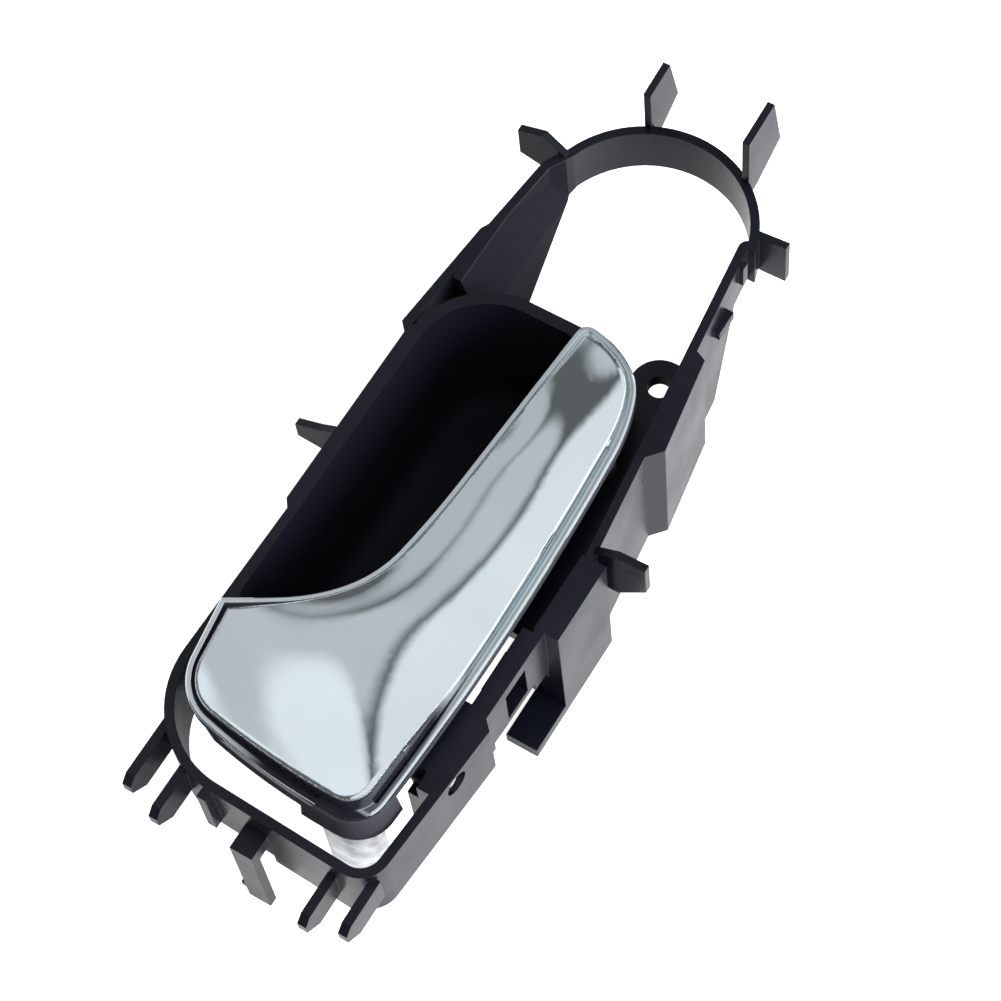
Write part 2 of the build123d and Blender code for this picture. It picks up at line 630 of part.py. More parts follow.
    # Prongs, hook and rib on the lower end
    for y, reach, top_z in PRONGS:
        with BuildSketch(Plane.XZ.offset(-y - PRONG_THICK / 2)):
            with BuildLine():
                Polyline(
                    (end_wall_x(y) + WALL / 2, top_z),
                    (END_X - reach + PRONG_POINT / 2, top_z),
                    (END_X - reach, top_z - PRONG_POINT / 2),
                    (END_X - reach, top_z - PRONG_DEPTH + PRONG_POINT),
                    (END_X - reach + PRONG_POINT, top_z - PRONG_DEPTH),
                    (end_wall_x(y) + WALL / 2, top_z - PRONG_DEPTH),
                    close=True,
                )
            make_face()
        extrude(amount=PRONG_THICK)
    hook_x = END_X - HOOK_REACH
    with BuildSketch(Plane.XZ.offset(-HOOK_Y - HOOK_WIDTH / 2)):
        with BuildLine():
            Polyline(
                (END_X + WALL / 2, HOOK_TOP),
                (hook_x, HOOK_TOP),
                (hook_x, HOOK_TOP - HOOK_DROP),
                (hook_x + HOOK_THICK, HOOK_TOP - HOOK_DROP),
                (hook_x + HOOK_THICK, HOOK_TOP - HOOK_PLATE),
                (END_X + WALL / 2, HOOK_TOP - HOOK_PLATE),
                close=True,
            )
        make_face()
    extrude(amount=HOOK_WIDTH)
    with BuildSketch(Plane.XY.offset(HOOK_NIB_Z)):
        with Locations((hook_x, HOOK_Y)):
            Rectangle(HOOK_THICK, HOOK_WIDTH / 2 + HOOK_NIB, align=(Align.MIN, Align.MIN))
    extrude(amount=HOOK_NIB_HEIGHT)
    with BuildSketch(Plane.XY.offset(RIM_Z)):
        with Locations((end_wall_x(END_RIB_Y) + WALL / 2, END_RIB_Y)):
            Rectangle(END_RIB_REACH + WALL / 2, PRONG_THICK, align=(Align.MAX, Align.CENTER))
    extrude(amount=-END_RIB_DEPTH)

    # Clip bump and nub beside the loop
    with BuildSketch(Plane.XY.offset(BUMP_TOP)):
        with Locations((BUMP_X, pivot_wall_y(BUMP_X) + WALL / 2)):
            Rectangle(BUMP_LENGTH, BUMP_REACH + WALL / 2, align=(Align.CENTER, Align.MAX))
    extrude(amount=-BUMP_HEIGHT)
    with BuildSketch(Plane.XY.offset(RIM_Z)):
        with Locations((NUB_X, pivot_wall_y(NUB_X) + WALL / 2)):
            Rectangle(NUB_LENGTH, NUB_REACH + WALL / 2, align=(Align.CENTER, Align.MAX))
    extrude(amount=-NUB_HEIGHT)

housing.part.label = "housing"
export_step(housing.part, "parts/housing.step")

# Outline of the lever: tangent arcs from the wide end round the pivot side to the tip
low_cup_point = from_hinge(LOW_CUP_POINT)
low_pivot_point = from_hinge(LOW_PIVOT_POINT)
with BuildSketch() as lever_plan:
    with BuildLine():
        edge = Line(from_hinge(WIDE_POINT), from_hinge(WIDE_EDGE_END))
        edge = TangentArc(edge @ 1, low_cup_point, tangent=edge % 1)
        low_edge = TangentArc(low_cup_point, low_pivot_point, tangent=edge % 1)
        edge = low_edge
        for point in SIDE_POINTS:
            edge = TangentArc(edge @ 1, from_hinge(point), tangent=edge % 1)
        tip_point = edge @ 1 + (edge % 1) * LEVER_TIP_RUN
        arm_point = from_hinge(ARM_POINTS[0])
        tip_start, tip_stop = rounded_corner(edge @ 1, tip_point, arm_point, LEVER_TIP_RADIUS)
        edge = Line(edge @ 1, tip_start)
        TangentArc(tip_start, tip_stop, tangent=edge % 1)
        edge = Line(tip_stop, arm_point)
        for point in ARM_POINTS[1:] + (WIDE_POINT,):
            edge = TangentArc(edge @ 1, from_hinge(point), tangent=edge % 1)
    make_face()

# Outline inside the lever's groove
with BuildSketch() as face_plan:
    add(lever_plan.sketch)
    offset(amount=-(BEAD_WIDTH + GROOVE), mode=Mode.REPLACE)

# Swept face inside the lever's groove
with BuildPart() as lever_face:
    with BuildSketch(Plane.XY.offset(edge_z)):
        add(face_plan.sketch)
    extrude(amount=LEVER_HEIGHT)
    add(crown(0), mode=Mode.INTERSECT)
    fillet(lever_face.faces().sort_by(Axis.Z)[-1].edges(), FACE_ROUND)

# Skirt round the lever's lower end, leaning out towards its foot
with BuildSketch() as skirt_plan:
    with BuildLine():
        skirt_side = from_hinge(SIDE_POINTS[0])
        edge = TangentArc(low_cup_point, low_pivot_point, tangent=low_edge % 0)
        TangentArc(low_pivot_point, skirt_side, tangent=edge % 1)
        Polyline(
            skirt_side,
            (HINGE_X, LEVER_SIDE_Y + SKIRT_INSET),
            (HINGE_X, LOW_CUP_POINT[1]),
            low_cup_point,
        )
    make_face()
with BuildPart() as skirt:
    with BuildSketch(Plane.XY.offset(edge_z)):
        add(skirt_plan.sketch)
    extrude(amount=-SKIRT_DEPTH, taper=-SKIRT_FLARE)
    with BuildSketch(Plane.XY.offset(edge_z)):
        add(skirt_plan.sketch)
        offset(amount=-SKIRT_WALL, mode=Mode.REPLACE)
    extrude(amount=-SKIRT_DEPTH, taper=-SKIRT_FLARE, mode=Mode.SUBTRACT)
    with BuildSketch(Plane.YZ.offset(tail_x - SKIRT_DEPTH)):
        with BuildLine():
            Polyline(
                (LOW_CUP_POINT[1], edge_z),
                (LOW_CUP_POINT[1] - SKIRT_LOW_DEPTH, edge_z - SKIRT_LOW_DEPTH),
                (SKIRT_STEP_Y, edge_z - SKIRT_LOW_DEPTH),
                (SKIRT_STEP_Y, edge_z - SKIRT_DEPTH),
                (LEVER_SIDE_Y * 3, edge_z - SKIRT_DEPTH),
                (LEVER_SIDE_Y * 3, edge_z),
                close=True,
            )
        make_face()
    extrude(amount=LEVER_TAIL + SKIRT_DEPTH - SKIRT_END, mode=Mode.INTERSECT)

# Lugs, stop post, spring pad and ribs behind the lever's face
with BuildPart() as lever_back:
    for y in (BRACKET_Y + SIDE_GAP, CUP_BRACKET_Y - SIDE_GAP - LUG_THICK):
        with BuildSketch(Plane.XZ.offset(-y)):
            with Locations((HINGE_X, HINGE_Z)):
                Circle(LUG_RADIUS)
                Rectangle(2 * LUG_RADIUS, LEVER_HEIGHT, align=(Align.CENTER, Align.MIN))
        extrude(amount=-LUG_THICK)
    with BuildSketch(Plane.XY.offset(BUFFER_HEIGHT + STOP_GAP)):
        with Locations((BUFFER_X, BUFFER_Y)):
            Circle(POST_RADIUS)
    extrude(amount=LEVER_HEIGHT)
    with BuildSketch(Plane.XY.offset(HINGE_Z + COIL_RADIUS + WIRE_RADIUS + SPRING_GAP)):
        with Locations((HINGE_X - SPRING_TAIL_LEG + PAD_LENGTH / 2, SPRING_Y)):
            Rectangle(PAD_LENGTH, PAD_WIDTH)
    extrude(amount=LEVER_HEIGHT)
    with BuildSketch(Plane.XY.offset(edge_z + RIB_DEPTH)):
        with Locations((tip_x - RIB_PITCH * (RIB_COUNT + 1) / 2, RIB_Y)):
            with GridLocations(RIB_PITCH, 0, RIB_COUNT, 1):
                Rectangle(RIB_THICK, LEVER_REACH)
        add(face_plan.sketch, mode=Mode.INTERSECT)
    extrude(amount=LEVER_HEIGHT)
    add(crown(SHELL / 2), mode=Mode.INTERSECT)

    # Cable arm with the eye for the cable's end
    with BuildSketch(Plane.XY.offset(arm_z)):
        add(lever_plan.sketch)
        with Locations((tail_x - 1, BRACKET_Y + SIDE_GAP)):
            Rectangle(ARM_THICK + 1, ARM_WIDTH, align=(Align.MIN, Align.MIN), mode=Mode.INTERSECT)
    extrude(amount=bead_z - arm_z)
    with BuildSketch(Plane.XZ.offset(-BRACKET_Y)):
        with Locations((tail_x + ARM_THICK / 2, arm_z + EYE_RADIUS * 2)):
            Circle(EYE_RADIUS)
    extrude(amount=-ARM_WIDTH * 2, mode=Mode.SUBTRACT)
    with BuildSketch(Plane.XZ.offset(-BRACKET_Y - SIDE_GAP - (ARM_WIDTH - EYE_SLOT) / 2)):
        with Locations((tail_x + ARM_THICK / 2, arm_z + EYE_RADIUS * 2)):
            Rectangle(ARM_THICK, EYE_SLOT, align=(Align.MAX, Align.CENTER))
    extrude(amount=-EYE_SLOT, mode=Mode.SUBTRACT)

# Hollow behind the lever's face
with BuildPart() as lever_hollow:
    with BuildSketch(Plane.XY.offset(edge_z)):
        add(lever_plan.sketch)
        offset(amount=-(BEAD_WIDTH + GROOVE + SHELL), mode=Mode.REPLACE)
    extrude(amount=LEVER_HEIGHT)
    add(crown(SHELL), mode=Mode.INTERSECT)

with BuildPart() as lever:
    with BuildSketch(Plane.XY.offset(edge_z)):
        add(lever_plan.sketch)
    extrude(amount=EDGE_THICK + BEAD_HEIGHT)
    chamfer(lever.faces().sort_by(Axis.Z)[-1].edges(), BEAD_CHAMFER)
    with BuildSketch(Plane.XY.offset(groove_z)):
        add(lever_plan.sketch)
        offset(amount=-BEAD_WIDTH, mode=Mode.REPLACE)
    extrude(amount=BEAD_HEIGHT * 2, mode=Mode.SUBTRACT)
    add(lever_face.part)
    add(lever_hollow.part, mode=Mode.SUBTRACT)
    add(skirt.part)
    add(lever_back.part)
    with BuildSketch(Plane.XZ.offset(-BRACKET_Y)):
        with Locations((HINGE_X, HINGE_Z)):
            Circle(PIN_RADIUS + PIN_CLEARANCE)
    extrude(amount=-(CUP_BRACKET_Y - BRACKET_Y), mode=Mode.SUBTRACT)

lever.part.label = "lever"
export_step(lever.part, "parts/lever.step")

with BuildPart() as hinge_pin:
    with BuildSketch(Plane.XZ.offset(-pin_start_y)):
        with Locations((HINGE_X, HINGE_Z)):
            Circle(PIN_RADIUS)
    extrude(amount=-(pin_end_y - pin_start_y))
    chamfer(hinge_pin.edges().filter_by(GeomType.CIRCLE), PIN_CHAMFER)

hinge_pin.part.label = "hinge_pin"
export_step(hinge_pin.part, "parts/hinge_pin.step")

# Torsion spring: coil round the pin, one leg under the lever's lower end, one down the cup's end
with BuildPart() as return_spring:
    with BuildLine() as spring_path:
        coil = Helix(
            COIL_PITCH,
            COIL_PITCH * coil_turns,
            COIL_RADIUS,
            center=(HINGE_X, SPRING_Y, HINGE_Z),
            direction=(0, 1, 0),
        )
        Line(coil @ 0 - (coil % 0) * SPRING_TAIL_LEG, coil @ 0)
        Line(coil @ 1, coil @ 1 + (coil % 1) * SPRING_LEG)
    wire_start = coil @ 0 - (coil % 0) * SPRING_TAIL_LEG
    with BuildSketch(Plane(wire_start, z_dir=coil % 0)):
        RegularPolygon(WIRE_RADIUS, WIRE_FLATS)
    sweep(path=spring_path.wire())

return_spring.part.label = "return_spring"
export_step(return_spring.part, "parts/return_spring.step")

# Push-in stop buffer on the shelf
with BuildPart() as stop_buffer:
    with BuildSketch():
        with Locations((BUFFER_X, BUFFER_Y)):
            Circle(BUFFER_RADIUS)
    extrude(amount=BUFFER_HEIGHT)
    chamfer(stop_buffer.faces().sort_by(Axis.Z)[-1].edges(), BUFFER_CHAMFER)
    with BuildSketch():
        with Locations((BUFFER_X, BUFFER_Y)):
            Circle(BUFFER_STEM_RADIUS)
    extrude(amount=-EAR_THICK - STEM_CLEARANCE)
    with BuildSketch(Plane.XY.offset(-EAR_THICK - STEM_CLEARANCE)):
        with Locations((BUFFER_X, BUFFER_Y)):
            Circle(BARB_RADIUS)
    extrude(amount=-BARB_LENGTH, taper=BARB_TAPER)

stop_buffer.part.label = "stop_buffer"
export_step(stop_buffer.part, "parts/stop_buffer.step")
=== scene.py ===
import functools
import math

import bmesh
import bpy
from mathutils import Matrix, Vector


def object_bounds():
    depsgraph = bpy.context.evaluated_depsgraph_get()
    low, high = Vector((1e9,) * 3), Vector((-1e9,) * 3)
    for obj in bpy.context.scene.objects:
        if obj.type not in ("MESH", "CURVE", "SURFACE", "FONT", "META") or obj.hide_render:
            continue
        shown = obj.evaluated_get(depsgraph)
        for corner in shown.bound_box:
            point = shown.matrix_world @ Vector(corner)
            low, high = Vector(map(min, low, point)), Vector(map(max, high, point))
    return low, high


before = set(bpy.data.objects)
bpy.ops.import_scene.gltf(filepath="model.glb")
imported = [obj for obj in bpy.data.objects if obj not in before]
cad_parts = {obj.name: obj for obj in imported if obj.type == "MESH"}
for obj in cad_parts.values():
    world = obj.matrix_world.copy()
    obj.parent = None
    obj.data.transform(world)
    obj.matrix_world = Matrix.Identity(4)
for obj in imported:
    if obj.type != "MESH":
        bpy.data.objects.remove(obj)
CAD_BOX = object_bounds()

bl_info = {
    "name": "Interior Door Handle",
    "version": (1, 0, 0),
    "blender": (4, 5, 0),
    "location": "View3D > Sidebar > Door Handle",
    "description": "Dresses a packed door handle: housing, plated lever, hinge, spring and buffer",
    "category": "Object",
}

# Floor, in metres: the handle's lowest point, the gap below it, and from the middle to an edge
FLOOR_Z = CAD_BOX[0].z
FLOOR_GAP = 0.0002
FLOOR_HALF_WIDTH = 4.0

# Rooms with duller plastic along x, y and z, in metres: the finger cup, and the loop's wall beside it
DULL_ROOMS = (
    ((-0.0985, -0.0012), (0.0119, 0.0517), (-0.0315, 0.0055)),
    ((-0.0012, 0.0385), (0.0380, 0.0514), (-0.0330, 0.0056)),
)

# Levels of the lever, in metres: foot of its skirt, floor of its groove, a level above its face,
# and how far from its level a flat surface is still found
SKIRT_FOOT_Z = 0.0022
GROOVE_Z = 0.0110
FACE_TOP_Z = 0.0200
LEVEL_MARGIN = 0.0002

# Along the lever, in metres: the painted dark reflection on its flank is full up to the first x and gone
# from the second, where the flank is bright again
FLANK_DARK_X = -0.0980
FLANK_BRIGHT_X = -0.0800

# Top of the bead, in metres: its height, and where its painted dark reflection at the lower end stops
# along x and y
BEAD_Z = 0.0120
BEAD_DARK_X = -0.1222
BEAD_BRIGHT_X = -0.1205
BEAD_DARK_Y = 0.0220
BEAD_BRIGHT_Y = 0.0360

# Noise values that stand for the low and the high end of a range
NOISE_LOW = 0.3
NOISE_HIGH = 0.7

# How much finer the grain of drawn steel is than its clouds
STEEL_GRAIN = 12

# Rays that a rounded edge is sampled with
EDGE_SAMPLES = 4

# Places of a mix node's first input and of its output, by the kind of value
MIX_INPUT = {"FLOAT": 2, "RGBA": 6}
MIX_OUTPUT = {"FLOAT": 0, "RGBA": 2}

# Studio: strength of its grey, its tint, and its soft bright patches, each with a direction,
# the cosines of the angle to it where the patch starts and is full, and a strength
SKY_BASE = 0.13
SKY_TINT = (0.95, 0.98, 1.0, 1.0)
LOBES = (
    ((0.10, -0.90, 0.42), 0.20, 0.36, 0.76),
    ((-0.10, 0.59, 0.80), 0.885, 0.955, 0.82),
    ((0.30, 0.55, 0.78), 0.92, 0.98, 0.48),
    ((0.40, 0.86, 0.32), 0.95, 0.99, 0.42),
)

# Side softbox, in metres: where it hangs and the point of the handle that it faces
SOFTBOX_PLACE = (-0.1, -0.95, 0.55)
SOFTBOX_AIM = (-0.04, 0.02, 0.0)


# Settings

class HousingSettings(bpy.types.PropertyGroup):
    """The moulded black housing"""

    colour: bpy.props.FloatVectorProperty(
        name="Plastic", description="Colour of the moulded plastic", subtype="COLOR",
        size=3, min=0.0, max=1.0, default=(0.0036, 0.0042, 0.0085),
    )
    roughness: bpy.props.FloatProperty(
        name="Satin", description="Roughness of the moulded face", subtype="FACTOR",
        min=0.0, max=1.0, default=0.29,
    )
    grain_height: bpy.props.FloatProperty(
        name="Grain height", description="Depth of the fine mould grain", subtype="DISTANCE",
        unit="LENGTH", min=0.0, default=0.00002,
    )
    cup_colour: bpy.props.FloatVectorProperty(
        name="Cup", description="Colour of the finger cup and of the loop's wall beside it",
        subtype="COLOR", size=3, min=0.0, max=1.0, default=(0.0040, 0.0043, 0.0090),
    )
    cup_roughness: bpy.props.FloatProperty(
        name="Cup grain", description="Roughness of the finger cup and of the loop's wall beside it",
        subtype="FACTOR", min=0.0, max=1.0, default=0.75,
    )
    edge_radius: bpy.props.FloatProperty(
        name="Edge radius", description="Rounding of the moulded edges", subtype="DISTANCE",
        unit="LENGTH", min=0.0, default=0.0003,
    )


class LeverSettings(bpy.types.PropertyGroup):
    """The plated pull lever"""

    colour: bpy.props.FloatVectorProperty(
        name="Plating", description="Colour of the bright plating", subtype="COLOR",
        size=3, min=0.0, max=1.0, default=(0.77, 0.84, 0.88),
    )
    roughness: bpy.props.FloatProperty(
        name="Polish", description="Roughness of the plated face", subtype="FACTOR",
        min=0.0, max=1.0, default=0.055,
    )
    # Painted dark reflection: the tone laid over the flank, the groove and part of the bead's top in
    # place of the plating
    painted_reflection_colour: bpy.props.FloatVectorProperty(
        name="Sides", description="Darkest tone of the flank, the groove and part of the bead's top",
        subtype="COLOR", size=3, min=0.0, max=1.0, default=(0.012, 0.012, 0.018),
    )
    # Painted dark reflection: the tone laid over the skirt below the bead in place of the plating
    skirt_painted_reflection_colour: bpy.props.FloatVectorProperty(
        name="Skirt", description="Dark tone of the skirt below the bead", subtype="COLOR",
        size=3, min=0.0, max=1.0, default=(0.045, 0.045, 0.055),
    )
    # Side lean and top lean: faces leaning up less than the first get the painted dark reflection in
    # full, faces leaning up more than the second get none
    side_lean: bpy.props.FloatProperty(
        name="Side lean", description="How far up a face may look and still count as a side",
        subtype="FACTOR", min=0.0, max=1.0, default=0.45,
    )
    top_lean: bpy.props.FloatProperty(
        name="Top lean", description="How far up a face looks once none of its side tone is left",
        subtype="FACTOR", min=0.0, max=1.0, default=0.75,
    )
    # Part of the groove's painted dark reflection that is kept at the far end
    groove_least: bpy.props.FloatProperty(
        name="Groove", description="How much of its dark tone the groove keeps at the far end",
        subtype="FACTOR", min=0.0, max=1.0, default=0.30,
    )
    arm_colour: bpy.props.FloatVectorProperty(
        name="Arm", description="Colour of the cable arm below the lever", subtype="COLOR",
        size=3, min=0.0, max=1.0, default=(0.55, 0.57, 0.59),
    )
    arm_roughness: bpy.props.FloatProperty(
        name="Arm roughness", description="Roughness of the cable arm", subtype="FACTOR",
        min=0.0, max=1.0, default=0.3,
    )
    edge_radius: bpy.props.FloatProperty(
        name="Edge radius", description="Rounding of the bead and the edges", subtype="DISTANCE",
        unit="LENGTH", min=0.0, default=0.0004,
    )


class HardwareSettings(bpy.types.PropertyGroup):
    """The pin, the spring and the buffer"""

    pin_colour: bpy.props.FloatVectorProperty(
        name="Pin steel", description="Colour of the drawn steel pin", subtype="COLOR",
        size=3, min=0.0, max=1.0, default=(0.78, 0.79, 0.80),
    )
    wire_colour: bpy.props.FloatVectorProperty(
        name="Spring wire", description="Colour of the spring wire", subtype="COLOR",
        size=3, min=0.0, max=1.0, default=(0.30, 0.29, 0.28),
    )
    rubber_colour: bpy.props.FloatVectorProperty(
        name="Rubber", description="Colour of the buffer", subtype="COLOR",
        size=3, min=0.0, max=1.0, default=(0.012, 0.012, 0.013),
    )


class StageSettings(bpy.types.PropertyGroup):
    """Floor and camera"""

    floor_colour: bpy.props.FloatVectorProperty(
        name="Floor", description="Colour of the pale floor", subtype="COLOR",
        size=3, min=0.0, max=1.0, default=(0.9, 0.9, 0.9),
    )
    floor_glow: bpy.props.FloatProperty(
        name="Floor glow", description="Light added to the floor where the camera sees it",
        subtype="FACTOR", min=0.0, max=1.0, default=0.88,
    )
    floor_mirrored: bpy.props.FloatProperty(
        name="Floor in reflections", description="Light added to the floor where the handle mirrors it",
        subtype="FACTOR", min=0.0, max=1.0, default=0.10,
    )
    camera_target: bpy.props.FloatVectorProperty(
        name="Aim", description="Point at the middle of the picture", subtype="TRANSLATION",
        unit="LENGTH", size=3, default=(-0.0442, 0.0141, 0.006),
    )
    camera_distance: bpy.props.FloatProperty(
        name="Distance", description="Camera to that point", subtype="DISTANCE",
        unit="LENGTH", min=0.1, default=0.624,
    )
    camera_azimuth: bpy.props.FloatProperty(
        name="Azimuth", description="Turn of the camera about the upright", subtype="ANGLE",
        unit="ROTATION", default=math.radians(-50.8),
    )
    camera_elevation: bpy.props.FloatProperty(
        name="Elevation", description="Height of the camera above the horizon", subtype="ANGLE",
        unit="ROTATION", default=math.radians(62.8),
    )
    camera_roll: bpy.props.FloatProperty(
        name="Roll", description="Turn of the picture", subtype="ANGLE",
        unit="ROTATION", default=math.radians(-8.5),
    )
    camera_lens: bpy.props.FloatProperty(
        name="Lens", description="Focal length", subtype="DISTANCE_CAMERA", unit="CAMERA",
        min=1.0, default=103.2,
    )


class HandleSettings(bpy.types.PropertyGroup):
    """All settings of the door handle"""

    housing: bpy.props.PointerProperty(
        name="Housing", description="Finish of the housing", type=HousingSettings,
    )
    lever: bpy.props.PointerProperty(
        name="Lever", description="Finish of the lever", type=LeverSettings,
    )
    hardware: bpy.props.PointerProperty(
        name="Hardware", description="Finish of the pin, the spring and the buffer",
        type=HardwareSettings,
    )
    stage: bpy.props.PointerProperty(
        name="Stage", description="Floor and camera", type=StageSettings,
    )


# Shared shader effects

def new_group(name, inputs, outputs):
    """Shader node group with float inputs (name, default) and outputs (name, socket type)."""
    group = bpy.data.node_groups.new(name, "ShaderNodeTree")
    for label, default in inputs:
        socket = group.interface.new_socket(label, in_out="INPUT", socket_type="NodeSocketFloat")
        socket.default_value = default
    for label, kind in outputs:
        group.interface.new_socket(label, in_out="OUTPUT", socket_type=kind)
    return group


def mottle_group():
    """Soft uneven tone over a surface: a value around 0.5 and a fine grain height."""
    if "surface_mottle" in bpy.data.node_groups:
        return bpy.data.node_groups["surface_mottle"]
    group = new_group(
        "surface_mottle",
        (("Cloud Scale", 60.0), ("Grain Scale", 2500.0)),
        (("Cloud", "NodeSocketFloat"), ("Grain", "NodeSocketFloat")),
    )
    nodes, links = group.nodes, group.links
    given = nodes.new("NodeGroupInput")
    made = nodes.new("NodeGroupOutput")
    place = nodes.new("ShaderNodeTexCoord")
    cloud = nodes.new("ShaderNodeTexNoise")
    cloud.inputs["Detail"].default_value = 3.0
    grain = nodes.new("ShaderNodeTexNoise")
    grain.inputs["Detail"].default_value = 2.0
    for texture, scale in ((cloud, "Cloud Scale"), (grain, "Grain Scale")):
        links.new(place.outputs["Object"], texture.inputs["Vector"])
        links.new(given.outputs[scale], texture.inputs["Scale"])
    links.new(cloud.outputs["Fac"], made.inputs["Cloud"])
    links.new(grain.outputs["Fac"], made.inputs["Grain"])
    return group


def new_material(name):
    """Material with one Principled shader, and that shader."""
    material = bpy.data.materials.new(name)
    material.use_nodes = True
    return material, material.node_tree.nodes["Principled BSDF"]


def ranged(tree, source, low, high):
    """A noise spread over low to high."""
    spread = tree.nodes.new("ShaderNodeMapRange")
    spread.inputs["From Min"].default_value = NOISE_LOW
    spread.inputs["From Max"].default_value = NOISE_HIGH
    spread.inputs["To Min"].default_value = low
    spread.inputs["To Max"].default_value = high
    tree.links.new(source, spread.inputs["Value"])
    return spread.outputs["Result"]


def toned(tree, source, colour, swing):
    """Colour that goes lighter and darker by swing with a noise."""
    mix = tree.nodes.new("ShaderNodeMix")
    mix.data_type = "RGBA"
    dark = [c * (1 - swing) for c in colour]
    light = [min(1.0, c * (1 + swing)) for c in colour]
    mix.inputs["A"].default_value = (*dark, 1.0)
    mix.inputs["B"].default_value = (*light, 1.0)
    tree.links.new(ranged(tree, source, low=0.0, high=1.0), mix.inputs["Factor"])
    return mix.outputs["Result"]


def bumped(tree, source, height, strength, shader):
    """Bump of that height in metres on the shader."""
    bump = tree.nodes.new("ShaderNodeBump")
    bump.inputs["Strength"].default_value = strength
    bump.inputs["Distance"].default_value = height
    tree.links.new(source, bump.inputs["Height"])
    tree.links.new(bump.outputs["Normal"], shader.inputs["Normal"])
    return bump


def soft_edges(tree, radius, socket):
    """Rounds the edges that catch the light, by that radius."""
    edge = tree.nodes.new("ShaderNodeBevel")
    edge.samples = EDGE_SAMPLES
    edge.inputs["Radius"].default_value = radius
    tree.links.new(edge.outputs["Normal"], socket)


def mottle_node(tree, cloud_scale, grain_scale):
    """The mottle group placed in a material."""
    node = tree.nodes.new("ShaderNodeGroup")
    node.node_tree = mottle_group()
    node.inputs["Cloud Scale"].default_value = cloud_scale
    node.inputs["Grain Scale"].default_value = grain_scale
    return node


def axis_values(tree):
    """The object's own x, y and z."""
    place = tree.nodes.new("ShaderNodeTexCoord")
    split = tree.nodes.new("ShaderNodeSeparateXYZ")
    tree.links.new(place.outputs["Object"], split.inputs[0])
    return split.outputs


def between(tree, source, low, high):
    """1 where the source lies between two values, else 0."""
    test = tree.nodes.new("ShaderNodeMath")
    test.operation = "COMPARE"
    test.inputs[1].default_value = (low + high) / 2
    test.inputs[2].default_value = (high - low) / 2
    tree.links.new(source, test.inputs[0])
    return test.outputs[0]


def fade(tree, source, full, none, least=0.0):
    """1 up to the first value of the source, falling softly to the least at the second."""
    ramp = tree.nodes.new("ShaderNodeMapRange")
    ramp.interpolation_type = "SMOOTHSTEP"
    ramp.inputs["From Min"].default_value = full
    ramp.inputs["From Max"].default_value = none
    ramp.inputs["To Min"].default_value = 1.0
    ramp.inputs["To Max"].default_value = least
    tree.links.new(source, ramp.inputs["Value"])
    return ramp.outputs["Result"]


def face_lean(tree):
    """How far up each face looks in the object's own frame, -1 to 1."""
    face = tree.nodes.new("ShaderNodeNewGeometry")
    turn = tree.nodes.new("ShaderNodeVectorTransform")
    turn.vector_type = "NORMAL"
    turn.convert_from = "WORLD"
    turn.convert_to = "OBJECT"
    split = tree.nodes.new("ShaderNodeSeparateXYZ")
    tree.links.new(face.outputs["True Normal"], turn.inputs[0])
    tree.links.new(turn.outputs[0], split.inputs[0])
    return split.outputs["Z"]


def joined(tree, operation, first, second):
    """Two values put together by a math operation."""
    both = tree.nodes.new("ShaderNodeMath")
    both.operation = operation
    tree.links.new(first, both.inputs[0])
    tree.links.new(second, both.inputs[1])
    return both.outputs[0]


def times(tree, *values):
    """Product of the values."""
    return functools.reduce(lambda first, second: joined(tree, "MULTIPLY", first, second), values)


def in_room(tree, place, room):
    """1 inside a box given by its low and high x, y and z, else 0."""
    return times(tree, *(between(tree, source, *limits) for source, limits in zip(place, room)))


def masked(tree, mask, kind, plain, other):
    """The plain socket where the mask is 0 and the other one, a socket or a constant, where it is 1."""
    mix = tree.nodes.new("ShaderNodeMix")
    mix.data_type = kind
    start = MIX_INPUT[kind]
    tree.links.new(mask, mix.inputs["Factor"])
    tree.links.new(plain, mix.inputs[start])
    if hasattr(other, "is_output"):
        tree.links.new(other, mix.inputs[start + 1])
    else:
        mix.inputs[start + 1].default_value = other
    return mix.outputs[MIX_OUTPUT[kind]]


def satin_plastic(settings):
    """Black moulded plastic with a fine grain, duller in the finger cup and beside it."""
    material, shader = new_material("satin_black_plastic")
    tree = material.node_tree
    mottle = mottle_node(tree, cloud_scale=70.0, grain_scale=3200.0)
    place = axis_values(tree)
    cup, loop_wall = (in_room(tree, place, room) for room in DULL_ROOMS)
    dull = joined(tree, "ADD", cup, loop_wall)
    colour = toned(tree, mottle.outputs["Cloud"], settings.colour, swing=0.18)
    colour = masked(tree, dull, "RGBA", colour, (*settings.cup_colour, 1.0))
    tree.links.new(colour, shader.inputs["Base Color"])
    rough = ranged(
        tree, mottle.outputs["Cloud"], low=settings.roughness - 0.05, high=settings.roughness + 0.06,
    )
    rough = masked(tree, dull, "FLOAT", rough, settings.cup_roughness)
    tree.links.new(rough, shader.inputs["Roughness"])
    shader.inputs["Specular IOR Level"].default_value = 0.28
    grain = bumped(tree, mottle.outputs["Grain"], settings.grain_height, strength=0.5, shader=shader)
    soft_edges(tree, settings.edge_radius, grain.inputs["Normal"])
    return material


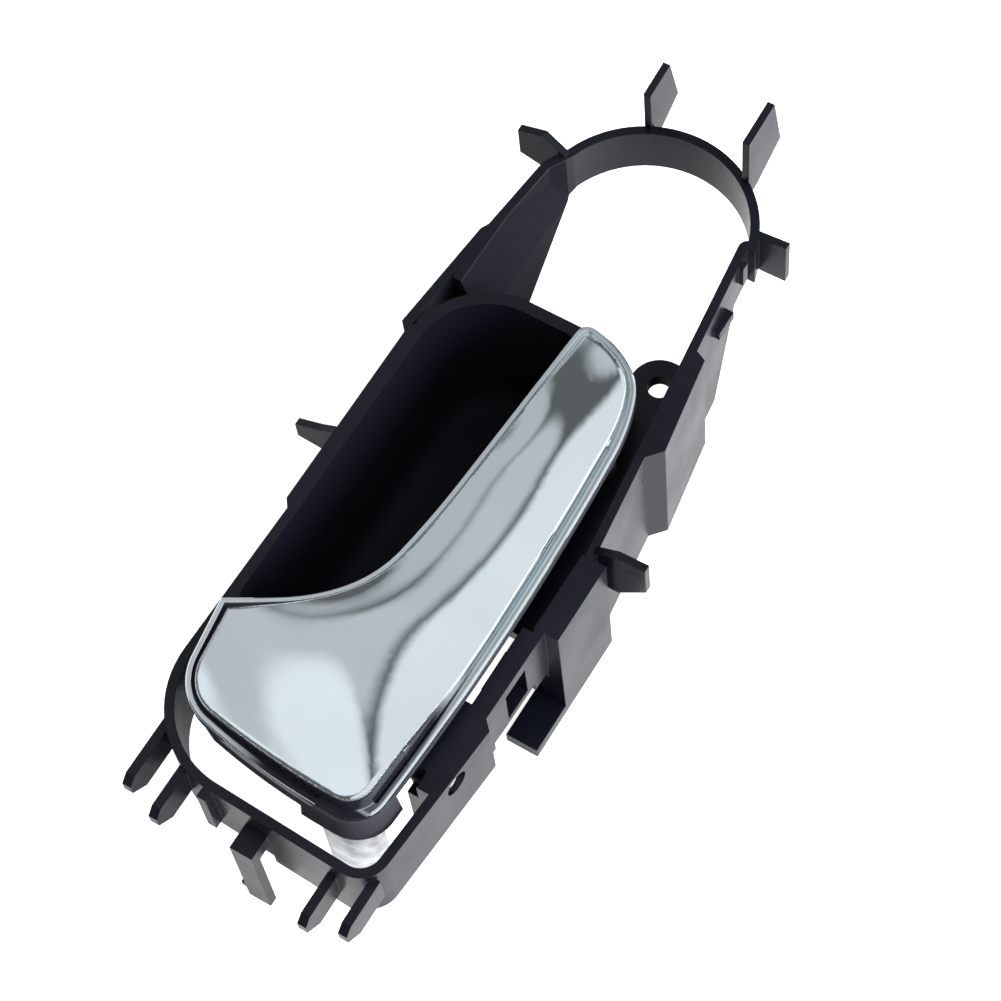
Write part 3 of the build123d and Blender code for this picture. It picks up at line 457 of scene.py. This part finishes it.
def painted_reflection_masks(tree, settings):
    """Where painted dark reflection is laid over the plating, and with which tone: flank, groove, part
    of the bead's top, skirt.
    """
    place = axis_values(tree)
    # Painted dark reflection goes on faces by how far up they lean, and by their level and place along
    # the lever
    upright = fade(tree, face_lean(tree), settings.side_lean, settings.top_lean)
    flank = times(
        tree, upright,
        between(tree, place["Z"], GROOVE_Z - LEVEL_MARGIN, FACE_TOP_Z),
        fade(tree, place["X"], FLANK_DARK_X, FLANK_BRIGHT_X),
    )
    groove = times(
        tree,
        between(tree, place["Z"], GROOVE_Z - LEVEL_MARGIN, GROOVE_Z + LEVEL_MARGIN),
        fade(tree, place["X"], FLANK_DARK_X, FLANK_BRIGHT_X, settings.groove_least),
    )
    bead = times(
        tree,
        between(tree, place["Z"], BEAD_Z - LEVEL_MARGIN, BEAD_Z + LEVEL_MARGIN),
        fade(tree, place["X"], BEAD_DARK_X, BEAD_BRIGHT_X),
        fade(tree, place["Y"], BEAD_DARK_Y, BEAD_BRIGHT_Y),
    )
    skirt = times(tree, upright, between(tree, place["Z"], SKIRT_FOOT_Z, GROOVE_Z - LEVEL_MARGIN))
    return (
        (flank, settings.painted_reflection_colour),
        (groove, settings.painted_reflection_colour),
        (bead, settings.painted_reflection_colour),
        (skirt, settings.skirt_painted_reflection_colour),
    )


def bright_plating(settings):
    """Chrome plating with the slight haze of plated plastic, with painted dark reflection on its sides,
    in its groove, on part of the bead's top and on its skirt, where the metal is turned off.
    """
    material, shader = new_material("chrome_plating_painted_reflection")
    tree = material.node_tree
    shader.inputs["Specular IOR Level"].default_value = 0.15
    mottle = mottle_node(tree, cloud_scale=45.0, grain_scale=300.0)
    streaks = mottle_node(tree, cloud_scale=260.0, grain_scale=900.0)
    colour = toned(tree, mottle.outputs["Cloud"], settings.colour, swing=0.03)
    # Painted dark reflection: dark tones laid over the flank, the groove, part of the bead's top and the
    # skirt, with the metal turned off under them
    masks = painted_reflection_masks(tree, settings)
    for mask, tone in masks:
        colour = masked(tree, mask, "RGBA", colour, (*tone, 1.0))
    bright = times(tree, *(fade(tree, mask, full=0.0, none=1.0) for mask, tone in masks))
    tree.links.new(bright, shader.inputs["Metallic"])
    arm = between(tree, axis_values(tree)["Z"], FLOOR_Z, SKIRT_FOOT_Z)
    arm_colour = toned(tree, streaks.outputs["Cloud"], settings.arm_colour, swing=0.35)
    colour = masked(tree, arm, "RGBA", colour, arm_colour)
    tree.links.new(colour, shader.inputs["Base Color"])
    rough = ranged(
        tree, mottle.outputs["Cloud"], low=settings.roughness - 0.02, high=settings.roughness + 0.02,
    )
    rough = masked(tree, arm, "FLOAT", rough, settings.arm_roughness)
    tree.links.new(rough, shader.inputs["Roughness"])
    soft_edges(tree, settings.edge_radius, shader.inputs["Normal"])
    return material


def drawn_steel(name, colour, roughness, scale, metallic):
    """Drawn steel with an uneven tone and a fine grain."""
    material, shader = new_material(name)
    tree = material.node_tree
    shader.inputs["Metallic"].default_value = metallic
    mottle = mottle_node(tree, cloud_scale=scale, grain_scale=scale * STEEL_GRAIN)
    tree.links.new(toned(tree, mottle.outputs["Cloud"], colour, swing=0.15), shader.inputs["Base Color"])
    rough = ranged(tree, mottle.outputs["Grain"], low=roughness - 0.08, high=roughness + 0.08)
    tree.links.new(rough, shader.inputs["Roughness"])
    bumped(tree, mottle.outputs["Grain"], height=0.00001, strength=0.4, shader=shader)
    return material


def soft_rubber(settings):
    """Matt black rubber."""
    material, shader = new_material("black_rubber")
    tree = material.node_tree
    mottle = mottle_node(tree, cloud_scale=300.0, grain_scale=4000.0)
    colour = toned(tree, mottle.outputs["Cloud"], settings.rubber_colour, swing=0.3)
    tree.links.new(colour, shader.inputs["Base Color"])
    rough = ranged(tree, mottle.outputs["Cloud"], low=0.7, high=0.85)
    tree.links.new(rough, shader.inputs["Roughness"])
    bumped(tree, mottle.outputs["Grain"], height=0.00003, strength=0.6, shader=shader)
    return material


def dress(node, material):
    """Gives a CAD node its finish."""
    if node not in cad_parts:
        raise RuntimeError(f"the packed model has no {node}")
    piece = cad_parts[node]
    piece.data.materials.clear()
    piece.data.materials.append(material)


# Operators

class HANDLE_OT_housing(bpy.types.Operator):
    """Dress the moulded housing in satin black plastic"""

    bl_idname = "door_handle.housing"
    bl_label = "Housing"

    def execute(self, context):
        settings = context.scene.door_handle.housing
        dress("housing", satin_plastic(settings))
        return {"FINISHED"}


class HANDLE_OT_lever(bpy.types.Operator):
    """Dress the pull lever in bright plating"""

    bl_idname = "door_handle.lever"
    bl_label = "Lever"

    def execute(self, context):
        settings = context.scene.door_handle.lever
        dress("lever", bright_plating(settings))
        return {"FINISHED"}


class HANDLE_OT_hinge(bpy.types.Operator):
    """Dress the hinge pin and the return spring in drawn steel"""

    bl_idname = "door_handle.hinge"
    bl_label = "Hinge pin and spring"

    def execute(self, context):
        settings = context.scene.door_handle.hardware
        dress("hinge_pin", drawn_steel(
            "drawn_pin_steel", settings.pin_colour, roughness=0.45, scale=250.0, metallic=0.55,
        ))
        dress("return_spring", drawn_steel(
            "spring_wire_steel", settings.wire_colour, roughness=0.35, scale=400.0, metallic=1.0,
        ))
        return {"FINISHED"}


class HANDLE_OT_buffer(bpy.types.Operator):
    """Dress the stop buffer in rubber"""

    bl_idname = "door_handle.buffer"
    bl_label = "Stop buffer"

    def execute(self, context):
        dress("stop_buffer", soft_rubber(context.scene.door_handle.hardware))
        return {"FINISHED"}


def softbox(name, place, aim, width, height, power):
    """Rectangular area lamp at a place, facing a point, that polished faces don't mirror."""
    lamp = bpy.data.lights.new(name, "AREA")
    lamp.shape = "RECTANGLE"
    lamp.size = width
    lamp.size_y = height
    lamp.energy = power
    holder = bpy.data.objects.new(name, lamp)
    holder.location = place
    holder.rotation_euler = (Vector(aim) - Vector(place)).to_track_quat("-Z", "Y").to_euler()
    holder.visible_glossy = False
    bpy.context.scene.collection.objects.link(holder)


def make_floor(settings):
    """Wide pale floor under the handle, with some glow for the camera and for reflections."""
    mesh = bpy.data.meshes.new("floor")
    shape = bmesh.new()
    bmesh.ops.create_grid(shape, x_segments=1, y_segments=1, size=FLOOR_HALF_WIDTH)
    bmesh.ops.translate(shape, verts=shape.verts, vec=(0, 0, FLOOR_Z - FLOOR_GAP))
    shape.to_mesh(mesh)
    shape.free()
    floor = bpy.data.objects.new("floor", mesh)
    bpy.context.scene.collection.objects.link(floor)
    material, shader = new_material("pale_floor")
    tree = material.node_tree
    shader.inputs["Base Color"].default_value = (*settings.floor_colour, 1.0)
    shader.inputs["Roughness"].default_value = 0.9
    shader.inputs["Specular IOR Level"].default_value = 0.0
    ray = tree.nodes.new("ShaderNodeLightPath")
    seen = tree.nodes.new("ShaderNodeMath")
    seen.operation = "MULTIPLY"
    seen.inputs[1].default_value = settings.floor_glow
    tree.links.new(ray.outputs["Is Camera Ray"], seen.inputs[0])
    mirrored = tree.nodes.new("ShaderNodeMath")
    mirrored.operation = "MULTIPLY_ADD"
    mirrored.inputs[1].default_value = settings.floor_mirrored
    tree.links.new(ray.outputs["Is Glossy Ray"], mirrored.inputs[0])
    tree.links.new(seen.outputs[0], mirrored.inputs[2])
    glow = tree.nodes.new("ShaderNodeEmission")
    tree.links.new(mirrored.outputs[0], glow.inputs["Strength"])
    total = tree.nodes.new("ShaderNodeAddShader")
    tree.links.new(shader.outputs["BSDF"], total.inputs[0])
    tree.links.new(glow.outputs["Emission"], total.inputs[1])
    tree.links.new(total.outputs["Shader"], tree.nodes["Material Output"].inputs["Surface"])
    mesh.materials.append(material)


def lobe(tree, direction, start, stop, strength):
    """Soft bright patch of sky round a direction."""
    place = tree.nodes.new("ShaderNodeTexCoord")
    along = tree.nodes.new("ShaderNodeVectorMath")
    along.operation = "DOT_PRODUCT"
    along.inputs[1].default_value = Vector(direction).normalized()
    tree.links.new(place.outputs["Generated"], along.inputs[0])
    spread = tree.nodes.new("ShaderNodeMapRange")
    spread.interpolation_type = "SMOOTHSTEP"
    spread.inputs["From Min"].default_value = start
    spread.inputs["From Max"].default_value = stop
    spread.inputs["To Max"].default_value = strength
    tree.links.new(along.outputs["Value"], spread.inputs["Value"])
    return spread.outputs["Result"]


def make_world():
    """Grey studio with soft bright patches, the brightest winning where they overlap."""
    world = bpy.data.worlds.new("studio")
    world.use_nodes = True
    tree = world.node_tree
    sky = tree.nodes["Background"]
    patches = [lobe(tree, *patch) for patch in LOBES]
    brightest = functools.reduce(lambda first, second: joined(tree, "MAXIMUM", first, second), patches)
    plus = tree.nodes.new("ShaderNodeMath")
    plus.inputs[1].default_value = SKY_BASE
    tree.links.new(brightest, plus.inputs[0])
    sky.inputs["Color"].default_value = SKY_TINT
    tree.links.new(plus.outputs[0], sky.inputs["Strength"])
    bpy.context.scene.world = world


def make_camera(settings):
    """Camera at the photograph's viewing angle."""
    turn, lift = settings.camera_azimuth, settings.camera_elevation
    back = Vector((math.sin(turn) * math.cos(lift), -math.cos(turn) * math.cos(lift), math.sin(lift)))
    lens = bpy.data.cameras.new("camera")
    lens.lens = settings.camera_lens
    lens.sensor_width = 36.0
    lens.clip_start = 0.01
    camera = bpy.data.objects.new("camera", lens)
    level = (-back).to_track_quat("-Z", "Y").to_matrix()
    camera.matrix_world = (
        Matrix.Translation(Vector(settings.camera_target) + back * settings.camera_distance)
        @ level.to_4x4() @ Matrix.Rotation(settings.camera_roll, 4, "Z")
    )
    bpy.context.scene.collection.objects.link(camera)
    bpy.context.scene.camera = camera


class HANDLE_OT_stage(bpy.types.Operator):
    """Lay the floor, hang the softbox and set the camera"""

    bl_idname = "door_handle.stage"
    bl_label = "Stage"

    def execute(self, context):
        settings = context.scene.door_handle.stage
        make_floor(settings)
        make_world()
        softbox("side_softbox", SOFTBOX_PLACE, SOFTBOX_AIM, width=0.9, height=0.5, power=24.0)
        make_camera(settings)
        context.scene.view_settings.view_transform = "Standard"
        return {"FINISHED"}


class HANDLE_PT_panel(bpy.types.Panel):
    """Finishes, stage and build steps of the door handle"""

    bl_idname = "HANDLE_PT_panel"
    bl_label = "Door Handle"
    bl_space_type = "VIEW_3D"
    bl_region_type = "UI"
    bl_category = "Door Handle"

    def draw(self, context):
        settings = context.scene.door_handle
        for group in (settings.housing, settings.lever, settings.hardware, settings.stage):
            box = self.layout.box()
            for name in group.__annotations__:
                box.prop(group, name)
        for operator in STEPS:
            self.layout.operator(operator.bl_idname)


STEPS = (
    HANDLE_OT_housing,
    HANDLE_OT_lever,
    HANDLE_OT_hinge,
    HANDLE_OT_buffer,
    HANDLE_OT_stage,
)
CLASSES = (
    HousingSettings,
    LeverSettings,
    HardwareSettings,
    StageSettings,
    HandleSettings,
    *STEPS,
    HANDLE_PT_panel,
)


def register():
    for each in CLASSES:
        bpy.utils.register_class(each)
    bpy.types.Scene.door_handle = bpy.props.PointerProperty(
        name="Door handle", description="Settings of the door handle", type=HandleSettings,
    )


def unregister():
    del bpy.types.Scene.door_handle
    for each in reversed(CLASSES):
        bpy.utils.unregister_class(each)


def main():
    register()
    bpy.ops.door_handle.housing()
    bpy.ops.door_handle.lever()
    bpy.ops.door_handle.hinge()
    bpy.ops.door_handle.buffer()
    bpy.ops.door_handle.stage()


if __name__ == "__main__":
    main()
